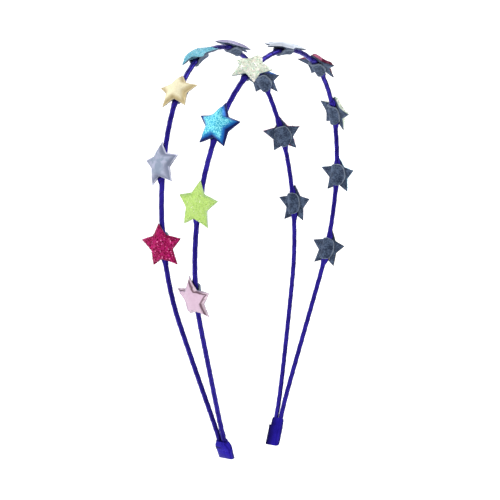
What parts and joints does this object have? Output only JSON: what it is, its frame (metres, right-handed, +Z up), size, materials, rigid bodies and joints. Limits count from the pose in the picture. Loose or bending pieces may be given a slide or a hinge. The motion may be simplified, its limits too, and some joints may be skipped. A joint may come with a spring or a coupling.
{
  "type": "star headband",
  "caption": "Double headband: ribbon-wrapped wire arches spread over the crown from a folded tab at each end, set with padded felt-backed stars in foil, glitter and satin.",
  "frame": {"origin": "on the surface it lies on, under the middle of its box", "axes": "+X from the left end tab to the right one, +Y from the tabs to the crown, +Z up, to the front band, as it lies on points of its back stars"},
  "size_m": [0.1104, 0.1532, 0.0422],
  "materials": {
    "ribbon_violet": "satin ribbon",
    "felt_grey": "pressed felt",
    "foil_rose": "mirror-like rose foil",
    "glitter_lime": "fine glitter",
    "foil_turquoise": "crinkled metallic foil",
    "glitter_pearl": "iridescent fine glitter",
    "satin_white": "pearly satin coating",
    "foil_red": "smooth red foil",
    "glitter_magenta": "fine glitter",
    "satin_silver": "pearly satin coating",
    "satin_gold": "pearly satin coating",
    "glitter_sky": "fine glitter",
    "satin_lilac": "pearly satin coating"
  },
  "bodies": {
    "root": {"front_wire_band": "ribbon_violet", "back_wire_band": "ribbon_violet", "left_end_tab": "ribbon_violet", "right_end_tab": "ribbon_violet", "front_star_1_pad": "foil_rose", "front_star_1_felt": "felt_grey", "front_star_1_patch": "felt_grey", "front_star_2_pad": "glitter_lime", "front_star_2_felt": "felt_grey", "front_star_2_patch": "felt_grey", "front_star_3_pad": "foil_turquoise", "front_star_3_felt": "felt_grey", "front_star_3_patch": "felt_grey", "front_star_4_pad": "glitter_pearl", "front_star_4_felt": "felt_grey", "front_star_4_patch": "felt_grey", "front_star_5_pad": "satin_white", "front_star_5_felt": "felt_grey", "front_star_5_patch": "felt_grey", "front_star_6_pad": "foil_red", "front_star_6_felt": "felt_grey", "front_star_6_patch": "felt_grey", "front_star_7_pad": "glitter_pearl", "front_star_7_felt": "felt_grey", "front_star_7_patch": "felt_grey", "front_star_8_pad": "glitter_sky", "front_star_8_felt": "felt_grey", "front_star_8_patch": "felt_grey", "front_star_9_pad": "satin_gold", "front_star_9_felt": "felt_grey", "front_star_9_patch": "felt_grey", "back_star_1_pad": "glitter_magenta", "back_star_1_felt": "felt_grey", "back_star_1_patch": "felt_grey", "back_star_2_pad": "satin_silver", "back_star_2_felt": "felt_grey", "back_star_2_patch": "felt_grey", "back_star_3_pad": "satin_gold", "back_star_3_felt": "felt_grey", "back_star_3_patch": "felt_grey", "back_star_4_pad": "glitter_sky", "back_star_4_felt": "felt_grey", "back_star_4_patch": "felt_grey", "back_star_5_pad": "satin_lilac", "back_star_5_felt": "felt_grey", "back_star_5_patch": "felt_grey", "back_star_6_pad": "foil_turquoise", "back_star_6_felt": "felt_grey", "back_star_6_patch": "felt_grey", "back_star_7_pad": "glitter_magenta", "back_star_7_felt": "felt_grey", "back_star_7_patch": "felt_grey", "back_star_8_pad": "foil_rose", "back_star_8_felt": "felt_grey", "back_star_8_patch": "felt_grey"}
  },
  "joints": []
}
